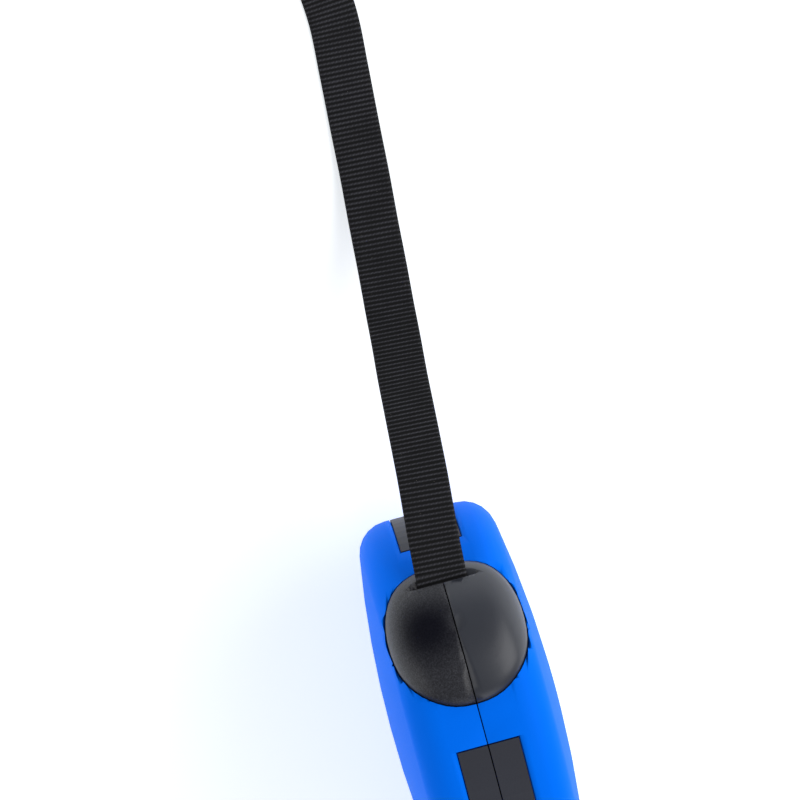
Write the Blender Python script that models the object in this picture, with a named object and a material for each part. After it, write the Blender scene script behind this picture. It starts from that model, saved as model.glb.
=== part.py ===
"""Retractable tape leash: housing, mouthpiece, reel, brake, and the tape with its snap hook.

Metres, +Z up. +X points forward, to the mouth. Y runs along the reel's axle, and the seam of
the housing is the plane y = 0. The foot stands on z = 0.
"""

import math

import bmesh
import bpy
from mathutils import Matrix, Vector

MM = 0.001
GAP = 0.3 * MM
SEGMENTS = 48
WELD = 0.004 * MM

# Drum of the housing
DRUM_R = 49.0 * MM
DRUM_HALF = 20.5 * MM
RIM_HALF = 9.0 * MM
RIM_FILLET = 8.0 * MM
DOME_RISE = 3.5 * MM
DOME_R = DRUM_R - 7.0 * MM
FILLET_SWEEP = math.radians(80.5)
WALL = 2.6 * MM
FOOT_TRIM = 0.8 * MM
DRUM_Z = DRUM_R - FOOT_TRIM

# Handle
HANDLE_HALF = 15.0 * MM
HANDLE_FILLET = 7.0 * MM
HANDLE_TOP_R = 33.0 * MM
HANDLE_TOP_X = -80.0 * MM
HANDLE_TOP_Z = 77.0 * MM
HANDLE_LOW_R = 29.0 * MM
HANDLE_LOW_X = -72.0 * MM
BRIDGE_R = DRUM_R - 2.0 * MM
BRIDGE_X = -12.0 * MM
GRIP_THICK = 24.0 * MM
HOLE_FRONT_WEB = 5.0 * MM
HOLE_CORNER_R = 8.5 * MM
HOLE_FLOOR = 13.5 * MM

# Mouthpiece
NOZZLE_ANGLE = math.radians(41.8)
NOZZLE_LONG = 18.05 * MM
NOZZLE_WIDE = 16.2 * MM
NOZZLE_BULGE = 4.6 * MM
NOZZLE_SINK = 3.4 * MM
NOZZLE_TAPER = 0.04
NOZZLE_FULLNESS = 2.3
NOZZLE_ROLL = 2.4
NOZZLE_WALL = 2.2 * MM
NOZZLE_RINGS = 8

# Tape and reel
TAPE_WIDE = 12.0 * MM
TAPE_THICK = 0.9 * MM
WOUND_R = 41.5 * MM
REEL_R = 43.5 * MM
TOOTH_DEPTH = 3.2 * MM
TEETH = 24
HUB_R = 16.0 * MM
FLANGE = 1.4 * MM
RATCHET_WIDE = 4.5 * MM
CUP_R = 32.0 * MM
CUP_WALL = 1.4 * MM
CUP_DEEP = 6.0 * MM
COVER_THICK = 0.9 * MM
AXLE_R = 4.0 * MM
ARBOR_R = 7.0 * MM
SPRING_STRIP = 0.5 * MM
SPRING_TURNS = 7

# Inlays
INLAY_HALF = 7.35 * MM
INLAY_THICK = 1.3 * MM

# Brake
BUTTON_HALF = 6.5 * MM
BUTTON_LONG = 34.0 * MM
BUTTON_FRONT_X = -18.0 * MM
BUTTON_PROUD = 5.4 * MM
BUTTON_TRAVEL = 4.2 * MM
PAWL_SWING = 0.231

# Fasteners
SCREW_SHANK_R = 1.4 * MM
SCREW_HEAD_R = 2.8 * MM
SCREW_HEAD_TALL = 1.6 * MM
BOSS_R = 3.6 * MM

# Hook
HOOK_Z = 4.4 * MM
EYE_BAR_R = 1.5 * MM
HOOK_RING_R = 9.0 * MM
HOOK_WIRE_R = 2.6 * MM
BOLT_R = 1.7 * MM
BOLT_TRAVEL = 7.0 * MM

BLUE = (0.0, 0.16, 0.98, 1.0)
BLACK = (0.02, 0.02, 0.025, 1.0)
CHARCOAL = (0.035, 0.037, 0.045, 1.0)
NYLON = (0.55, 0.56, 0.57, 1.0)
STEEL = (0.6, 0.6, 0.62, 1.0)
SPRING_STEEL = (0.35, 0.37, 0.4, 1.0)
ZINC = (0.66, 0.66, 0.68, 1.0)
WHITE_PLASTIC = (0.8, 0.8, 0.78, 1.0)


def material(name, colour, roughness, metallic=0.0):
    """A Principled BSDF of one colour."""
    finish = bpy.data.materials.get(name) or bpy.data.materials.new(name)
    finish.use_nodes = True
    shader = finish.node_tree.nodes["Principled BSDF"]
    shader.inputs["Base Color"].default_value = colour
    shader.inputs["Roughness"].default_value = roughness
    shader.inputs["Metallic"].default_value = metallic
    return finish


def add_object(name, mesh_data, finish=None):
    """Links a bmesh as an object, shaded smooth but for its sharp edges."""
    mesh = bpy.data.meshes.new(name)
    mesh_data.to_mesh(mesh)
    mesh_data.free()
    obj = bpy.data.objects.new(name, mesh)
    bpy.context.scene.collection.objects.link(obj)
    mesh.shade_smooth()
    mesh.set_sharp_from_angle(angle=math.radians(35.0))
    if finish:
        mesh.materials.append(finish)
    return obj


def bake(obj):
    """Makes the object's evaluated shape its own mesh."""
    graph = bpy.context.evaluated_depsgraph_get()
    mesh = bpy.data.meshes.new_from_object(obj.evaluated_get(graph))
    finishes = list(obj.data.materials)
    obj.modifiers.clear()
    obj.data = mesh
    welded = bmesh.new()
    welded.from_mesh(mesh)
    bmesh.ops.remove_doubles(welded, verts=welded.verts, dist=WELD)
    bmesh.ops.dissolve_degenerate(welded, edges=welded.edges, dist=WELD)
    welded.to_mesh(mesh)
    welded.free()
    mesh.materials.clear()
    for finish in finishes:
        mesh.materials.append(finish)
    mesh.shade_smooth()
    mesh.set_sharp_from_angle(angle=math.radians(35.0))


def boolean(target, tool, operation, keep_tool=False):
    """Cuts, joins or intersects, then removes the tool."""
    step = target.modifiers.new(operation, "BOOLEAN")
    step.operation = operation
    step.solver = "EXACT"
    step.object = tool
    bpy.context.view_layer.update()
    bake(target)
    if not keep_tool:
        bpy.data.objects.remove(tool)


def copy_of(obj, name):
    """A second object with its own mesh."""
    twin = obj.copy()
    twin.data = obj.data.copy()
    twin.name = name
    bpy.context.scene.collection.objects.link(twin)
    return twin


def polar(radius, angle, centre=(0.0, DRUM_Z)):
    """A point in the XZ plane, angle from +X towards +Z."""
    return centre[0] + radius * math.cos(angle), centre[1] + radius * math.sin(angle)


def arc(circle, start, end, steps):
    """Points along a circle (x, z, r) between two angles."""
    x, z, r = circle
    return [polar(r, start + (end - start) * i / steps, (x, z)) for i in range(steps + 1)]


def hull(circles, step=math.radians(6.0)):
    """The outline of a band stretched round circles (x, z, r), listed anticlockwise."""
    points = []
    count = len(circles)
    normals = []
    for i, (x0, z0, r0) in enumerate(circles):
        x1, z1, r1 = circles[(i + 1) % count]
        span = math.hypot(x1 - x0, z1 - z0)
        normals.append(math.atan2(z1 - z0, x1 - x0) - math.acos((r0 - r1) / span))
    for i, circle in enumerate(circles):
        start = normals[i - 1]
        sweep = (normals[i] - start) % (2.0 * math.pi)
        steps = max(2, math.ceil(sweep / step))
        points += arc(circle, start, start + sweep, steps)
    return points


def grown(circles, extra):
    """The same circles with larger (or smaller) radii."""
    return [(x, z, r + extra) for x, z, r in circles]


def prism(name, outline, y0, y1, finish=None):
    """An outline in the XZ plane, extruded from y0 to y1."""
    shape = bmesh.new()
    face = shape.faces.new([shape.verts.new((x, y0, z)) for x, z in outline])
    pushed = bmesh.ops.extrude_face_region(shape, geom=[face])
    corners = [v for v in pushed["geom"] if isinstance(v, bmesh.types.BMVert)]
    bmesh.ops.translate(shape, verts=corners, vec=(0.0, y1 - y0, 0.0))
    bmesh.ops.recalc_face_normals(shape, faces=shape.faces)
    return add_object(name, shape, finish)


def turned(name, profile, centre=(0.0, DRUM_Z), finish=None, segments=SEGMENTS):
    """A closed profile of (radius, y) points turned about an axis along Y."""
    shape = bmesh.new()
    rings = []
    for radius, y in profile:
        if radius < 1e-7:
            rings.append([shape.verts.new((centre[0], y, centre[1]))])
            continue
        ring = []
        for i in range(segments):
            x, z = polar(radius, 2.0 * math.pi * i / segments, centre)
            ring.append(shape.verts.new((x, y, z)))
        rings.append(ring)
    for low, high in zip(rings, rings[1:] + rings[:1]):
        if len(low) == 1 and len(high) == 1:
            continue
        for i in range(segments):
            j = (i + 1) % segments
            corners = [low[i % len(low)], low[j % len(low)], high[j % len(high)], high[i % len(high)]]
            shape.faces.new(list(dict.fromkeys(corners)))
    bmesh.ops.recalc_face_normals(shape, faces=shape.faces)
    return add_object(name, shape, finish)


def disc(name, centre, outer, y0, y1, bore=0.0, finish=None, segments=24):
    """A round bar or washer along Y."""
    inner = [(bore, y1), (bore, y0)]
    return turned(name, [(outer, y0), (outer, y1)] + inner, centre, finish, segments)


def block(name, low, high, finish=None):
    """A box between two corners."""
    shape = bmesh.new()
    bmesh.ops.create_cube(shape, size=1.0)
    size = [b - a for a, b in zip(low, high)]
    middle = [(a + b) / 2.0 for a, b in zip(low, high)]
    bmesh.ops.scale(shape, vec=size, verts=shape.verts)
    bmesh.ops.translate(shape, vec=middle, verts=shape.verts)
    return add_object(name, shape, finish)


def ribbon(name, path, thickness, y0, y1, finish=None):
    """A flat strip whose middle line follows (x, z) points, or (x, y, z) with its own sideways shift."""
    shape = bmesh.new()
    points = [Vector((p[0], p[1] if len(p) == 3 else 0.0, p[-1])) for p in path]
    rows = []
    for i, point in enumerate(points):
        along = points[min(i + 1, len(points) - 1)] - points[max(i - 1, 0)]
        up = Vector((-along.z, 0.0, along.x)).normalized() * (thickness / 2.0)
        corners = [(up, y0), (up, y1), (-up, y1), (-up, y0)]
        rows.append([shape.verts.new(point + lift + Vector((0.0, y, 0.0))) for lift, y in corners])
    for low, high in zip(rows, rows[1:]):
        for i in range(4):
            j = (i + 1) % 4
            shape.faces.new((low[i], low[j], high[j], high[i]))
    shape.faces.new(rows[0])
    shape.faces.new(rows[-1])
    bmesh.ops.recalc_face_normals(shape, faces=shape.faces)
    return add_object(name, shape, finish)


def coil_spring(name, base, axis, length, radius, wire, turns, finish):
    """A helical spring with plain ends, standing on base along axis."""
    points = []
    steps = int(turns * 10)
    axis = Vector(axis).normalized()
    side = axis.orthogonal().normalized()
    other = axis.cross(side)
    for i in range(steps + 1):
        turn = 2.0 * math.pi * turns * i / steps
        ring = side * math.cos(turn) + other * math.sin(turn)
        points.append(Vector(base) + axis * (length * i / steps) + ring * radius)
    return wire_along(name, points, wire, finish, 1)


def wire_along(name, points, radius, finish, resolution=2, cyclic=False):
    """A round wire along points, with filled ends."""
    curve = bpy.data.curves.new(name, "CURVE")
    curve.dimensions = "3D"
    curve.bevel_depth = radius
    curve.bevel_resolution = resolution
    curve.use_fill_caps = True
    spline = curve.splines.new("POLY")
    spline.points.add(len(points) - 1)
    for target, point in zip(spline.points, points):
        target.co = (point[0], point[1], point[2], 1.0)
    spline.use_cyclic_u = cyclic
    obj = bpy.data.objects.new(name, curve)
    bpy.context.scene.collection.objects.link(obj)
    curve.materials.append(finish)
    bpy.context.view_layer.update()
    mesh = bpy.data.meshes.new_from_object(obj.evaluated_get(bpy.context.evaluated_depsgraph_get()))
    bpy.data.objects.remove(obj)
    solid = bpy.data.objects.new(name, mesh)
    bpy.context.scene.collection.objects.link(solid)
    return solid


# ---------------------------------------------------------------- housing

BRIDGE = (BRIDGE_X, DRUM_Z, BRIDGE_R)
HANDLE_TOP = (HANDLE_TOP_X, HANDLE_TOP_Z, HANDLE_TOP_R)
HANDLE_LOW = (HANDLE_LOW_X, HANDLE_LOW_R - FOOT_TRIM, HANDLE_LOW_R)
BRIDGE_FOOT = (BRIDGE_X, BRIDGE_R - FOOT_TRIM, BRIDGE_R)
SLAB = [BRIDGE, HANDLE_TOP, HANDLE_LOW, BRIDGE_FOOT]
HOLE_REAR_X = HANDLE_TOP_X - HANDLE_TOP_R + GRIP_THICK + HOLE_CORNER_R
HOLE_TOP_Z = HANDLE_TOP_Z + HANDLE_TOP_R - 16.0 * MM - HOLE_CORNER_R
HOLE_FRONT_X = -DRUM_R - HOLE_FRONT_WEB - HOLE_CORNER_R
HOLE_LOW_Z = HOLE_FLOOR + HOLE_CORNER_R
HOLE = [
    (HOLE_FRONT_X + 1.5 * MM, HOLE_TOP_Z, HOLE_CORNER_R),
    (HOLE_REAR_X, HOLE_TOP_Z - 2.0 * MM, HOLE_CORNER_R),
    (HOLE_REAR_X + 4.0 * MM, HOLE_LOW_Z, HOLE_CORNER_R),
    (HOLE_FRONT_X - 2.0 * MM, HOLE_LOW_Z, HOLE_CORNER_R),
]


def top_line():
    """The slope of the housing behind the drum: a point on it, its direction backwards and its normal."""
    x0, z0, r0 = BRIDGE
    x1, z1, r1 = HANDLE_TOP
    span = math.hypot(x1 - x0, z1 - z0)
    angle = math.atan2(z1 - z0, x1 - x0) - math.acos((r0 - r1) / span)
    normal = Vector((math.cos(angle), 0.0, math.sin(angle)))
    start = Vector((x0, 0.0, z0)) + normal * r0
    return start, Vector((-normal.z, 0.0, normal.x)), normal


LINE_START, LINE_BACK, LINE_UP = top_line()


def on_line(x, lift=0.0):
    """The point of the slope above a given x, lifted along its normal, as (x, z)."""
    reach = (x - LINE_START.x) / LINE_BACK.x
    point = LINE_START + LINE_BACK * reach + LINE_UP * lift
    return point.x, point.z


def drum_profile(inset):
    """The drum's turned profile, shrunk by inset all round."""
    fillet = RIM_FILLET - inset
    corner_r = DRUM_R - RIM_FILLET
    half = []
    for i in range(6):
        angle = FILLET_SWEEP * i / 5.0
        half.append((corner_r + fillet * math.cos(angle), RIM_HALF + fillet * math.sin(angle)))
    edge = half[-1][0]
    for i in range(1, 4):
        radius = edge * (1.0 - i / 4.0)
        half.append((radius, DRUM_HALF - inset - DOME_RISE * (radius / DOME_R) ** 2))
    half.append((0.0, DRUM_HALF - inset))
    return [(r, -y) for r, y in reversed(half)] + half


def rounded_slab(name, circles, half, fillet):
    """The handle's plate, rounded at its edges in a few steps."""
    shape = bmesh.new()
    rows = []
    steps = 4
    for side in (-1.0, 1.0):
        order = range(steps + 1) if side > 0 else range(steps, -1, -1)
        for i in order:
            angle = math.radians(90.0) * i / steps
            inset = fillet * (1.0 - math.cos(angle))
            y = side * (half - fillet + fillet * math.sin(angle))
            rows.append([shape.verts.new((x, y, z)) for x, z in hull(grown(circles, -inset))])
    count = len(rows[0])
    for low, high in zip(rows, rows[1:]):
        for i in range(count):
            j = (i + 1) % count
            shape.faces.new((low[i], low[j], high[j], high[i]))
    shape.faces.new(rows[0])
    shape.faces.new(rows[-1])
    bmesh.ops.recalc_face_normals(shape, faces=shape.faces)
    return add_object(name, shape)


def finger_cutter(extra, half, name="finger_cutter"):
    """The finger opening, grown by extra all round."""
    return prism(name, hull(grown(HOLE, extra)), -half, half)


def rim_height(along, across):
    """How far the drum's skin lies from its axis, at a place on the mouthpiece's own plane."""
    past_rim = min(max(abs(across) - RIM_HALF, 0.0), RIM_FILLET)
    radius = DRUM_R - RIM_FILLET + math.sqrt(RIM_FILLET**2 - past_rim**2)
    return math.sqrt(radius**2 - along**2)


def full(share):
    """A sine or cosine swelled so that the egg's outline is fuller than an ellipse."""
    return math.copysign(abs(share) ** (2.0 / NOZZLE_FULLNESS), share)


def nozzle_body(name, extra, floor):
    """The mouthpiece's egg: a pebble swelling out of the rim, narrower towards the drum's top."""
    shape = bmesh.new()
    rings = [math.sin(math.radians(90.0) * i / NOZZLE_RINGS) for i in range(1, NOZZLE_RINGS + 1)]
    levels = []
    for upper in (True, False):
        for share in rings if upper else rings[::-1]:
            row = []
            for i in range(SEGMENTS):
                turn = 2.0 * math.pi * i / SEGMENTS
                along = share * (NOZZLE_LONG + extra) * full(math.cos(turn))
                across = share * (NOZZLE_WIDE + extra) * full(math.sin(turn))
                across *= 1.0 + NOZZLE_TAPER * along / NOZZLE_LONG
                swell = (NOZZLE_BULGE + extra) * math.sqrt(1.0 - share**NOZZLE_ROLL)
                height = rim_height(along, across) + (swell if upper else -floor)
                row.append(shape.verts.new((along, across, height)))
            levels.append(row)
    for low, high in zip(levels, levels[1:]):
        for i in range(SEGMENTS):
            j = (i + 1) % SEGMENTS
            shape.faces.new((low[i], low[j], high[j], high[i]))
    for row, height in ((levels[0], NOZZLE_BULGE + extra), (levels[-1], -floor)):
        tip = shape.verts.new((0.0, 0.0, DRUM_R + height))
        for i in range(SEGMENTS):
            shape.faces.new((row[i], row[(i + 1) % SEGMENTS], tip))
    bmesh.ops.recalc_face_normals(shape, faces=shape.faces)
    place = Matrix.Translation((0.0, 0.0, DRUM_Z))
    place = place @ Matrix.Rotation(math.radians(90.0) - NOZZLE_ANGLE, 4, "Y")
    shape.transform(place)
    return add_object(name, shape)


# Tape: the lead leaves the winding on a tangent and runs through the slot
LEAD_R = WOUND_R + GAP + TAPE_THICK / 2.0
SLOT_ANGLE = math.radians(28.0)
SLOT_R = DRUM_R + 2.8 * MM
LEAD_ANGLE = SLOT_ANGLE + math.acos(LEAD_R / SLOT_R)
LEAD_DIRECTION = Vector((math.sin(LEAD_ANGLE), 0.0, -math.cos(LEAD_ANGLE)))
SLOT_X, SLOT_Z = polar(SLOT_R, SLOT_ANGLE)
SLOT_HALF = 8.75 * MM
SLOT_LIP = 1.5 * MM
SLOT_LIFT = 0.35 * MM


def slot_cutter():
    """The lens-shaped slot, along the tape's way out."""
    shape = bmesh.new()
    bmesh.ops.create_cone(shape, segments=32, radius1=1.0, radius2=1.0, depth=24.0 * MM, cap_ends=True)
    bmesh.ops.scale(shape, vec=(SLOT_LIP, SLOT_HALF, 1.0), verts=shape.verts)
    turn = Vector((0.0, 0.0, 1.0)).rotation_difference(LEAD_DIRECTION).to_matrix().to_4x4()
    lift = Vector((-LEAD_DIRECTION.z, 0.0, LEAD_DIRECTION.x)) * SLOT_LIFT
    shape.transform(Matrix.Translation(Vector((SLOT_X, 0.0, SLOT_Z)) + lift) @ turn)
    return add_object("slot_cutter", shape)


def housing_solid(inset):
    """Drum and handle as one solid, shrunk by inset."""
    solid = turned("solid", drum_profile(inset))
    slab = rounded_slab("slab", grown(SLAB, -inset), HANDLE_HALF - inset, HANDLE_FILLET - inset)
    boolean(solid, slab, "UNION")
    return solid


BUTTON_REAR_X = BUTTON_FRONT_X - BUTTON_LONG


def button_outline(extra, low, high):
    """The button's plan along the slope, as a side outline between two heights over the slope."""
    front = BUTTON_FRONT_X + extra
    rear = BUTTON_REAR_X - extra
    return [on_line(front, low), on_line(front, high), on_line(rear, high), on_line(rear, low)]


# Places of the bosses: (x, z)
SCREW_SPOTS = [
    (-48.0 * MM, 9.5 * MM),
    (HANDLE_LOW_X - HANDLE_LOW_R + 5.2 * MM, 38.0 * MM),
    (HANDLE_TOP_X - HANDLE_TOP_R + GRIP_THICK / 2.0, HANDLE_TOP_Z - 4.0 * MM),
    (HANDLE_TOP_X + 4.0 * MM, HANDLE_TOP_Z + HANDLE_TOP_R - 8.0 * MM),
]
PAWL_X = -43.0 * MM
PAWL_Z = 86.5 * MM
PIN_R = 1.5 * MM
PIN_HALF = 11.6 * MM
PIN_BOSS_R = 3.2 * MM
ROLLER_R = 1.7 * MM
ROLLER_PIN_R = 0.8 * MM
ROLLER_HALF = 6.3 * MM
ROLLER_REACH = 4.5 * MM
ROLLER_X = SLOT_X - LEAD_DIRECTION.x * ROLLER_REACH + LEAD_DIRECTION.z * (ROLLER_R + TAPE_THICK / 2.0 + GAP)
ROLLER_Z = SLOT_Z - LEAD_DIRECTION.z * ROLLER_REACH - LEAD_DIRECTION.x * (ROLLER_R + TAPE_THICK / 2.0 + GAP)
SPRING_SEAT_X = -47.5 * MM
SEAT_TOP_Z = 91.1 * MM
SEAT_THICK = 2.2 * MM


def post(shell, side, centre, radius, inner, outer):
    """Joins a round post to one shell, from |y| = inner to |y| = outer."""
    low, high = sorted((side * inner, side * outer))
    boolean(shell, disc_solid(centre, radius, low, high), "UNION")


def disc_solid(centre, radius, low, high, segments=20):
    """A round bar along Y with no bore."""
    return turned("bar", [(0.0, low), (radius, low), (radius, high), (0.0, high)], centre, None, segments)


def drill(shell, side, centre, radius, inner, outer, segments=20):
    """Drills one shell along Y."""
    low, high = sorted((side * inner, side * outer))
    boolean(shell, disc_solid(centre, radius, low, high, segments), "DIFFERENCE")


def shell_bosses(shell, side):
    """Posts for the axle, the screws, the pawl pin and the brake spring."""
    seam = GAP / 2.0
    wall_in = HANDLE_HALF - WALL - 0.6 * MM
    for spot in SCREW_SPOTS:
        post(shell, side, spot, BOSS_R, seam, wall_in + 1.6 * MM)
    post(shell, side, (0.0, DRUM_Z), AXLE_R + 2.2 * MM, AXLE_END, DRUM_HALF - WALL + 1.0 * MM)
    drill(shell, side, (0.0, DRUM_Z), AXLE_R + GAP, AXLE_END - 1.0 * MM, AXLE_HALF + GAP)
    post(shell, side, (PAWL_X, PAWL_Z), PIN_BOSS_R, PIN_HALF - 1.1 * MM, wall_in + 1.6 * MM)
    drill(shell, side, (PAWL_X, PAWL_Z), PIN_R + GAP, PIN_HALF - 3.0 * MM, PIN_HALF + GAP)
    if side > 0:
        low = (SPRING_SEAT_X - 5.5 * MM, seam, SEAT_TOP_Z - SEAT_THICK)
        high = (SPRING_SEAT_X + 2.0 * MM, wall_in + 1.6 * MM, SEAT_TOP_Z)
        boolean(shell, block("seat", low, high), "UNION")


def screw_holes(shell, side):
    """Clear holes and countersunk seats on the right, blind holes on the left."""
    for spot in SCREW_SPOTS:
        if side < 0:
            drill(shell, side, spot, SCREW_SHANK_R + GAP, -MM, HANDLE_HALF + MM, 16)
            drill(shell, side, spot, SCREW_HEAD_R + GAP, HANDLE_HALF - SCREW_SEAT, HANDLE_HALF + MM)
        else:
            drill(shell, side, spot, SCREW_SHANK_R + GAP, -MM, SCREW_BITE + GAP, 16)
    if side < 0:
        drill(shell, side, (0.0, DRUM_Z), SCREW_SHANK_R + GAP, AXLE_HALF - MM, DRUM_HALF + MM, 16)
        drill(shell, side, (0.0, DRUM_Z), SCREW_HEAD_R + GAP, DRUM_HALF - CENTRE_SEAT, DRUM_HALF + MM)


AXLE_HALF = 17.0 * MM
AXLE_END = 15.8 * MM
SCREW_SEAT = 2.6 * MM
CENTRE_SEAT = 2.2 * MM
SCREW_BITE = 8.0 * MM


def strip_recess(path_of, y_half):
    """A cutter as deep as an inlay plus its gap, wider by the gap on each edge."""
    depth = INLAY_THICK + GAP + 3.0 * MM
    return ribbon("recess", path_of((3.0 * MM - INLAY_THICK - GAP) / 2.0, GAP), depth, -y_half - GAP, y_half + GAP)


def drum_strip(start_deg, end_deg, steps):
    """A path along the drum's rim at a chosen offset, longer by an end allowance."""

    def path(offset, extra):
        radius = DRUM_R + offset
        spare = extra / DRUM_R
        start, end = math.radians(start_deg) - spare, math.radians(end_deg) + spare
        return arc((0.0, DRUM_Z, radius), start, end, steps)

    return path


def grip_strip(offset, extra):
    """A path along the back of the handle."""
    top_x, top_z, top_r = HANDLE_TOP
    low_x, low_z, low_r = HANDLE_LOW
    span = math.hypot(low_x - top_x, low_z - top_z)
    tangent = math.atan2(low_z - top_z, low_x - top_x) - math.acos((top_r - low_r) / span)
    start = math.radians(112.0) - extra / top_r
    points = arc((top_x, top_z, top_r + offset), start, tangent % (2.0 * math.pi), 12)
    return points + arc((low_x, low_z, low_r + offset), tangent % (2.0 * math.pi), math.radians(238.0) + extra / low_r, 6)


UPPER_STRIP = drum_strip(75.5, 99.0, 6)
LOWER_STRIP = drum_strip(-38.0, 10.0, 12)
STRIPS = {"upper_inlay": UPPER_STRIP, "lower_inlay": LOWER_STRIP, "handle_grip": grip_strip}


def make_shells():
    """The two moulded halves of the housing."""
    solid = housing_solid(0.0)
    boolean(solid, block("ground", (-1.0, -1.0, -1.0), (1.0, 1.0, 0.0)), "DIFFERENCE")
    boolean(solid, finger_cutter(0.0, 3.0 * HANDLE_HALF), "DIFFERENCE")
    hollow = housing_solid(WALL)
    boolean(hollow, block("floor", (-1.0, -1.0, -1.0), (1.0, 1.0, WALL)), "DIFFERENCE")
    boolean(hollow, finger_cutter(WALL, 3.0 * HANDLE_HALF), "DIFFERENCE")
    boolean(solid, hollow, "DIFFERENCE")
    boolean(solid, nozzle_body("nozzle_seat", GAP, NOZZLE_SINK + GAP), "DIFFERENCE")
    for path in STRIPS.values():
        boolean(solid, strip_recess(path, INLAY_HALF), "DIFFERENCE")
    opening = prism("opening", button_outline(GAP, -8.6 * MM, 9.3 * MM), -BUTTON_HALF - GAP, BUTTON_HALF + GAP)
    boolean(solid, opening, "DIFFERENCE")
    shells = {1.0: solid, -1.0: copy_of(solid, "twin")}
    finish = material("blue_plastic", BLUE, 0.38)
    for side, name in ((1.0, "left_shell"), (-1.0, "right_shell")):
        shell = shells[side]
        low, high = sorted((side * GAP / 2.0, side * 1.0))
        boolean(shell, block("side", (-1.0, low, -1.0), (1.0, high, 1.0)), "INTERSECT")
        shell_bosses(shell, side)
        screw_holes(shell, side)
        shell.name = name
        shell.data.name = name
        shell.data.materials.append(finish)


def make_nozzle():
    """Two halves of the black mouthpiece, gripped by the housing's rim."""
    whole = nozzle_body("nozzle", 0.0, NOZZLE_SINK)
    boolean(whole, nozzle_body("nozzle_core", -NOZZLE_WALL, NOZZLE_SINK + NOZZLE_WALL), "DIFFERENCE")
    boolean(whole, turned("drum_core", drum_profile(WALL)), "DIFFERENCE")
    boolean(whole, slot_cutter(), "DIFFERENCE")
    finish = material("black_plastic", BLACK, 0.42)
    for side, name in ((1.0, "nozzle_left"), (-1.0, "nozzle_right")):
        half = copy_of(whole, name)
        low, high = sorted((side * GAP / 2.0, side * 1.0))
        boolean(half, block("side", (-1.0, low, -1.0), (1.0, high, 1.0)), "INTERSECT")
        half.data.materials.append(finish)
    bpy.data.objects.remove(whole)


def make_inlays():
    """Soft strips let into the rim, one on each side of the seam."""
    finish = material("soft_plastic", CHARCOAL, 0.6)
    for strip, path in STRIPS.items():
        for side, word in ((1.0, "left"), (-1.0, "right")):
            low, high = sorted((side * GAP / 2.0, side * INLAY_HALF))
            ribbon(f"{strip}_{word}", path(-INLAY_THICK / 2.0, 0.0), INLAY_THICK, low, high, finish)


# ---------------------------------------------------------------- reel

REEL_IN = TAPE_WIDE / 2.0 + 0.8 * MM
REEL_OUT = REEL_IN + FLANGE
CUP_END = REEL_OUT + CUP_DEEP
COVER_IN = CUP_END - COVER_THICK


def make_reel():
    """Hub with one flange, and the spring's cup on its outer side."""
    finish = material("reel_plastic", WHITE_PLASTIC, 0.5)
    profile = [
        (AXLE_R + GAP, -REEL_IN + GAP),
        (HUB_R, -REEL_IN + GAP),
        (HUB_R, REEL_IN),
        (REEL_R, REEL_IN),
        (REEL_R, REEL_OUT),
        (CUP_R, REEL_OUT),
        (CUP_R, CUP_END),
        (CUP_R - CUP_WALL, CUP_END),
        (CUP_R - CUP_WALL, REEL_OUT),
        (AXLE_R + GAP, REEL_OUT),
    ]
    reel = turned("reel", profile, finish=finish, segments=60)
    pin_x, pin_z = ANCHOR_SPOT
    boolean(reel, disc_solid((pin_x, pin_z), PIN_R + GAP, -REEL_IN, REEL_IN - MM, 12), "DIFFERENCE")


ANCHOR_SPOT = polar(HUB_R - 3.6 * MM, math.radians(200.0))


def make_ratchet():
    """The far flange, whose thick rim carries the ratchet teeth."""
    pitch = 2.0 * math.pi / TEETH
    outline = []
    for i in range(TEETH):
        middle = PAWL_ANGLE + (i + 0.5) * pitch
        for share, radius in ((-0.28, 0.0), (-0.17, 1.0), (0.17, 1.0), (0.28, 0.0), (0.5, 0.0)):
            outline.append(polar(REEL_R - TOOTH_DEPTH * (1.0 - radius), middle + share * pitch))
    finish = material("ratchet_plastic", BLACK, 0.5)
    plate = prism("reel_side_plate", outline, -REEL_IN - RATCHET_WIDE, -REEL_IN, finish)
    bore = disc_solid((0.0, DRUM_Z), AXLE_R + GAP, -0.05, 0.05)
    boolean(plate, bore, "DIFFERENCE")
    rim = REEL_R - TOOTH_DEPTH - 3.0 * MM
    hollow = disc("hollow", (0.0, DRUM_Z), rim, -0.05, -REEL_OUT, HUB_R * 0.6, segments=48)
    boolean(plate, hollow, "DIFFERENCE")


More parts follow.
